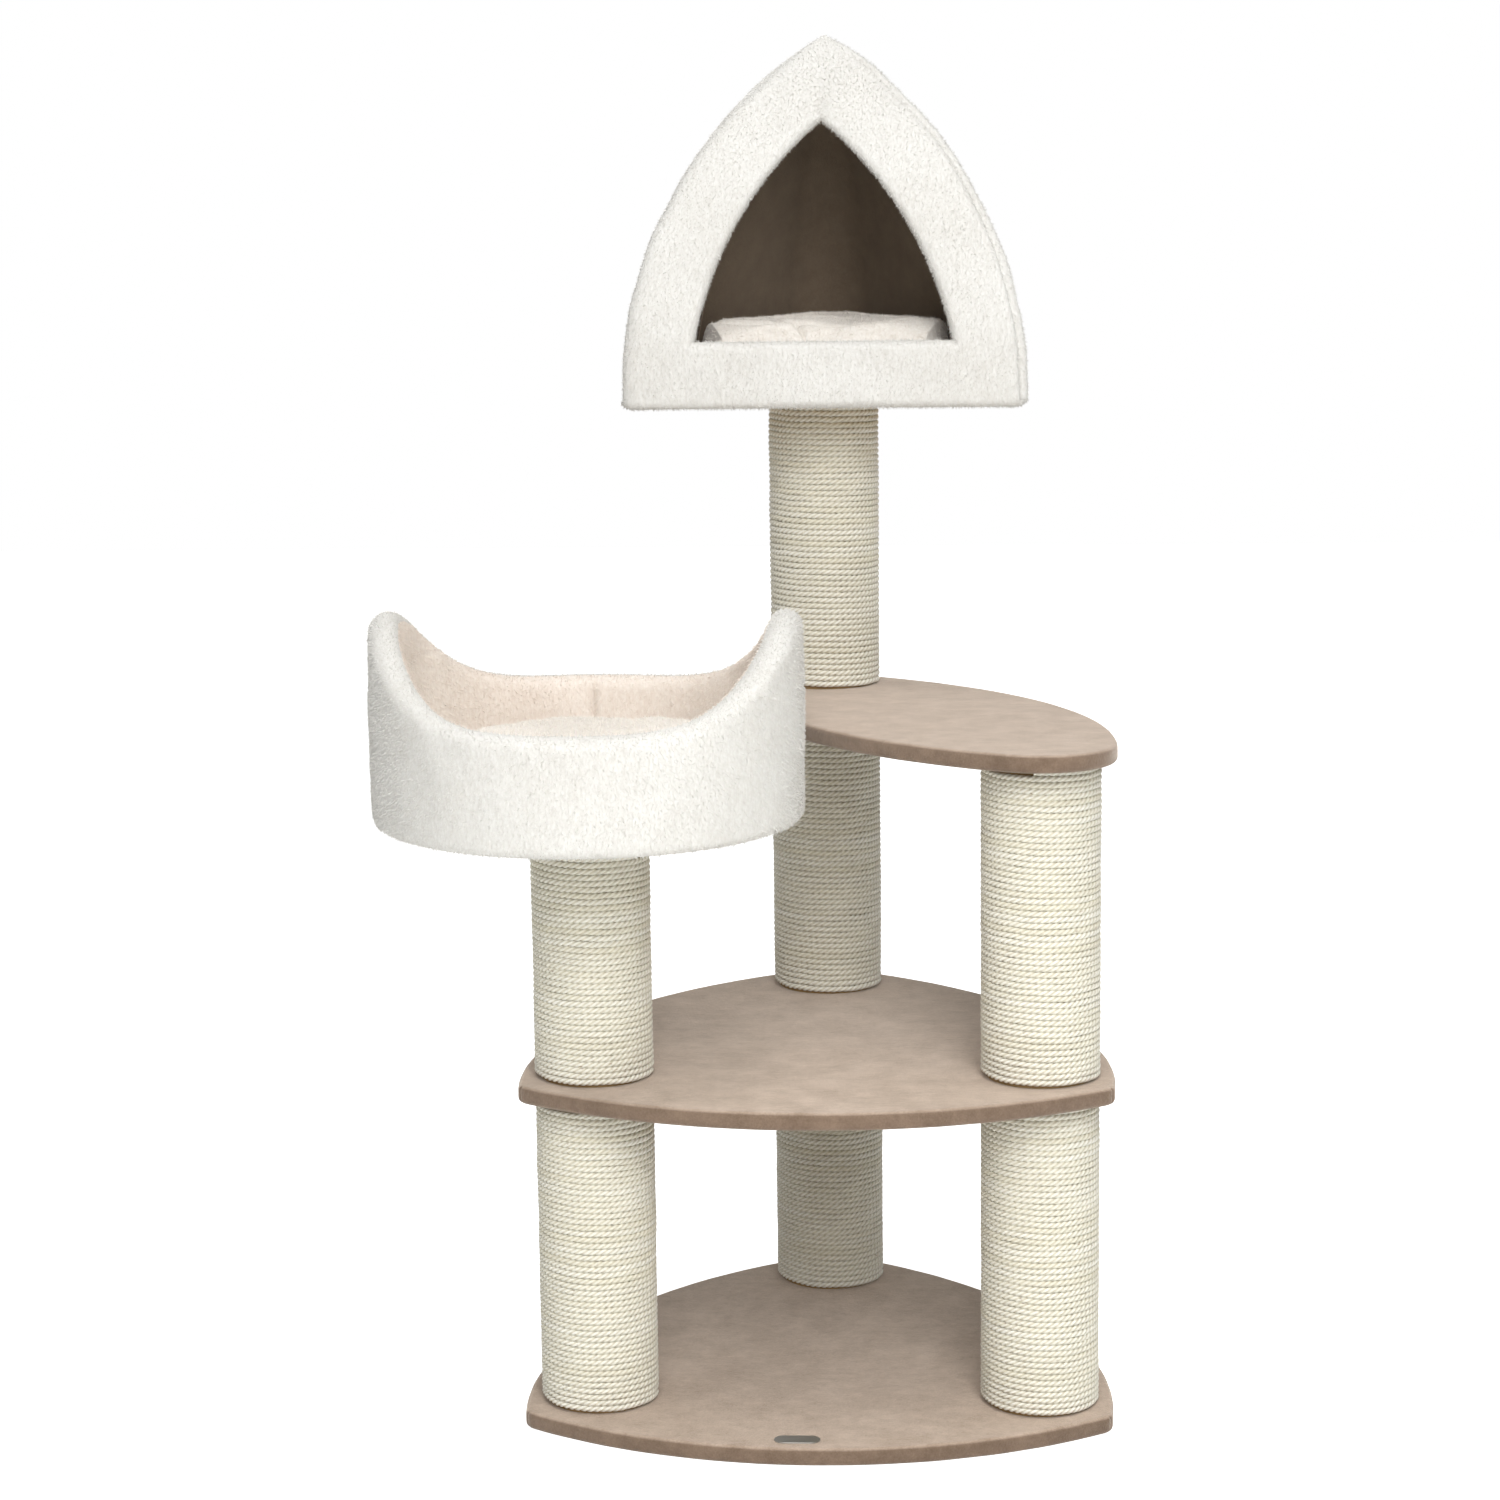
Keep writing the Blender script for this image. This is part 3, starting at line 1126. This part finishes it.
crumple(house_pad, house_cushion_relief, keep_in_house)
cushion_plush = plush("cushion_plush", "#ece8e1", "#dcd4ca", 0.0020)
for number, (pad, node) in enumerate(((bed_pad, "bed_cushion"), (house_pad, "house_cushion"))):
    pad.data.materials.clear()
    dress(pad, cushion_plush, node, node + "_body")
    add_pile(pad, cushion_plush, 100000.0, 0.0, 31 + number, node + "_body", 0.0024)

# ---- undersides of the boards and of the bed ---------------------------------------------------
# What shows from below: a sheet of suede under the middle board and the shelf, black felted
# non-woven under the base, and plush under the bed, each stapled along its edge at 35 mm.
sheet_inset = 0.029           # how far inside the edge of its board a sheet ends
staple_pitch = 0.035
staple_width = 0.010
staple_wire = 0.0006

staple_tree, given = geometry_tree("staple_row", (
    ("Line", "Object", None),
    ("Pitch", "Float", staple_pitch),
    ("Width", "Float", staple_width),
    ("Wire", "Float", staple_wire),
    ("Seed", "Int", 5),
    ("Material", "Material", None),
))
line = add_node(staple_tree, "GeometryNodeObjectInfo", {"Object": given["Line"]})
line_curve = add_node(staple_tree, "GeometryNodeMeshToCurve", {"Mesh": line.outputs["Geometry"]})
spaced = add_node(staple_tree, "GeometryNodeCurveToPoints", {
    "Curve": line_curve.outputs[0], "Length": given["Pitch"]}, mode="LENGTH")
size = add_node(staple_tree, "ShaderNodeCombineXYZ", {
    "X": given["Wire"], "Y": given["Wire"], "Z": given["Width"]})
crown = add_node(staple_tree, "GeometryNodeMeshCube", {"Size": size.outputs[0]})
skew = add_node(staple_tree, "FunctionNodeRandomValue", {
    "Min": (0.0, -0.25, 0.0), "Max": (0.0, 0.25, 0.0), "Seed": given["Seed"]}, data_type="FLOAT_VECTOR")
lined_up = add_node(staple_tree, "FunctionNodeRotateRotation", {
    "Rotation": spaced.outputs["Rotation"], "Rotate By": skew.outputs[0]}, rotation_space="LOCAL")
placed = add_node(staple_tree, "GeometryNodeInstanceOnPoints", {
    "Points": spaced.outputs["Points"], "Instance": crown.outputs["Mesh"],
    "Rotation": lined_up.outputs[0]})
finish_tree(staple_tree, placed.outputs[0], given["Material"])


def metal(name, colour_hex, rough_low, rough_high, scratch_scale):
    """A plated or brushed metal: mirror-like but scattered, so its roughness does the varying."""
    material, tree, shader, place = new_material(name)
    drawn = add_node(tree, "ShaderNodeMapping", {"Vector": place, "Scale": scratch_scale})
    scratches = add_node(tree, "ShaderNodeTexNoise", {
        "Vector": drawn.outputs[0], "Scale": 1.0, "Detail": 4.0})
    rough = add_node(tree, "ShaderNodeMapRange", {
        "Value": scratches.outputs["Fac"], "From Min": 0.3, "From Max": 0.7,
        "To Min": rough_low, "To Max": rough_high})
    tree.links.new(rough.outputs[0], shader.inputs["Roughness"])
    tint = add_node(tree, "ShaderNodeMix", {
        "Factor": scratches.outputs["Fac"], "A": linear(colour_hex), "B": linear("#c9c8c4")},
        data_type="RGBA")
    finish_material(tree, shader, tint.outputs["Result"], scratches.outputs["Fac"], 0.15, 0.0002)
    shader.inputs["Metallic"].default_value = 1.0
    return material


zinc_steel = metal("zinc_plated_steel", "#a5a6a8", 0.28, 0.5, (300.0, 300.0, 300.0))
satin_steel = metal("brushed_plate_steel", "#9c9a94", 0.3, 0.45, (60.0, 2500.0, 60.0))


def felt(name, light_hex, dark_hex):
    """Needled non-woven polypropylene: a mat of crossing fibres, rough, with dimpled bonding points."""
    material, tree, shader, place = new_material(name)
    fibres = add_node(tree, "ShaderNodeTexNoise", {  # fibres, drawn 0.8 mm wide to show
        "Vector": place, "Scale": 900.0, "Detail": 4.0, "Roughness": 0.8})
    dimples = add_node(tree, "ShaderNodeTexVoronoi", {  # bonding points, 2 mm apart
        "Vector": place, "Scale": 500.0})
    mixed = add_node(tree, "ShaderNodeMath", {
        0: dimples.outputs["Distance"], 1: 0.6, 2: fibres.outputs["Fac"]}, operation="MULTIPLY_ADD")
    colour = add_node(tree, "ShaderNodeMix", {
        "Factor": mixed.outputs[0], "A": linear(dark_hex), "B": linear(light_hex)}, data_type="RGBA")
    finish_material(tree, shader, colour.outputs["Result"], mixed.outputs[0], 0.5, 0.0005)
    shader.inputs["Roughness"].default_value = 0.95
    return material


black_felt = felt("black_nonwoven", "#3a3a3b", "#1d1d1e")


def flat_sheet(name, rim_line, level, holes):
    """A thin sheet inside a rim, as rings in towards the middle, a little slack between its staples."""
    spots = [Vector(spot) for spot in rim_line]
    centre = sum(spots, Vector((0, 0))) / len(spots)
    points = []
    shares = (1.0, 0.985, 0.96, 0.9, 0.82, 0.72, 0.6, 0.48, 0.36, 0.24, 0.12, 0.03)
    for share in shares:
        for spot in spots:
            flat = centre + (spot - centre) * share
            slack = noise.noise(Vector((flat.x * 12, flat.y * 12, level * 9)))
            slack = slack * 0.0004 * (1 - share ** 8)
            held = min(min(((flat - hole).length - 0.012) / 0.02, 1) for hole in holes)
            points.append((flat.x, flat.y, level - abs(slack) * max(held, 0)))
    around = len(spots)
    points.append((centre.x, centre.y, level))
    last = (len(shares) - 1) * around
    faces = ring_faces(len(shares), around)
    faces += [(last + i, last + (i + 1) % around, len(points) - 1) for i in range(around)]
    return thicken(mesh_piece(name, points, faces), lining_thick, 0)


def staple_line(name, rim_line, level):
    """A row of staples along a closed line, as one piece."""
    count = len(rim_line)
    mesh = bpy.data.meshes.new(name + "_line")
    edges = [(i, (i + 1) % count) for i in range(count)]
    mesh.from_pydata([(x, y, level) for x, y in rim_line], edges, [])
    line = bpy.data.objects.new(name + "_line", mesh)
    scene.collection.objects.link(line)
    row = from_nodes(name, staple_tree, {
        "Line": line, "Pitch": staple_pitch, "Width": staple_width, "Wire": staple_wire, "Seed": 5,
        "Material": zinc_steel})
    bpy.data.objects.remove(line)
    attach(row, "tree")


def inset_rim(rim, inset):
    """The points of a rim moved in by a distance."""
    return [tuple(place - out * inset) for place, out, away in rim]


post_spots = [Vector(((low.x + high.x) / 2, (low.y + high.y) / 2))
              for low, high in (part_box(post + "_tube") for post in post_names[:3])]
bed_under_rim = [tuple(bed_middle.to_2d() + turned(bed_outer_radius - bed_foot_radius - 0.002, 2 * i))
                 for i in range(180)]
for name, rim_line, node, material, slot, flat, rest in (
    ("base_felt", inset_rim(triangle_rim, sheet_inset), "base_underlay", black_felt, "nonwoven",
     (0.63, 0.64), "base_board"),
    ("middle_lower_suede", inset_rim(triangle_rim, sheet_inset), "middle_underside", taupe_suede,
     "taupe_suede", (0.63, 0.64), "middle_board"),
    ("shelf_lower_suede", inset_rim(shelf_rim, sheet_inset), "shelf_underside", taupe_suede,
     "taupe_suede", (0.34, 0.51), "shelf_board"),
    ("bed_lower_plush", bed_under_rim, "bed_underside", white_plush,
     "outer_plush", (0.42, 0.42), "bed_floor"),
):
    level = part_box(node)[0].z + 0.0010
    piece = flat_sheet(name, rim_line, level, post_spots)
    dress(piece, material, node)
    outline = [Vector(spot) for spot in rim_line]
    plane_area(outline)
    centre = sum(outline, Vector((0, 0))) / len(outline)
    staple_rim = [tuple(centre + (spot - centre) * 0.975) for spot in outline]
    staple_line(name + "_staples", staple_rim, level - 0.0003)

# ---- wood, card and hardware -------------------------------------------------------------------
# What the covers hide, and what shows of it inside the posts: spiral-wound card tubes, plywood
# plugs and floors, chipboard cores, bent board, zinc-plated bolts, and the plain plate on the base.
def board_material(name, light_hex, dark_hex, scale, rough):
    """A wood or paper board: layered fibres, so its colour and relief run along it in streaks."""
    material, tree, shader, place = new_material(name)
    drawn = add_node(tree, "ShaderNodeMapping", {"Vector": place, "Scale": scale})
    grain = add_node(tree, "ShaderNodeTexNoise", {
        "Vector": drawn.outputs[0], "Scale": 1.0, "Detail": 6.0, "Roughness": 0.65, "Distortion": 0.6})
    colour = add_node(tree, "ShaderNodeMix", {
        "Factor": grain.outputs["Fac"], "A": linear(dark_hex), "B": linear(light_hex)},
        data_type="RGBA")
    finish_material(tree, shader, colour.outputs["Result"], grain.outputs["Fac"], 0.3, 0.0004)
    shader.inputs["Roughness"].default_value = rough
    return material


node_materials = {
    "cardboard": board_material("spiral_wound_card", "#b89c72", "#8f7449", (40.0, 40.0, 260.0), 0.85),
    "plywood": board_material("sawn_plywood", "#dcc193", "#b8935e", (18.0, 220.0, 220.0), 0.7),
    "chipboard": board_material("raw_chipboard", "#cdb083", "#8d6b41", (260.0, 260.0, 260.0), 0.8),
    "bent_board": board_material("bent_fibreboard", "#a88760", "#7f6243", (420.0, 420.0, 90.0), 0.75),
    "zinc_steel": zinc_steel,
    "plate_metal": satin_steel,
}
for piece in frame["record"]["subparts"]:
    cad_node = bpy.data.objects[piece["node"]]
    if not cad_node.hide_render:
        for slot in cad_node.material_slots:
            slot.material = node_materials[piece["material_slot"]]
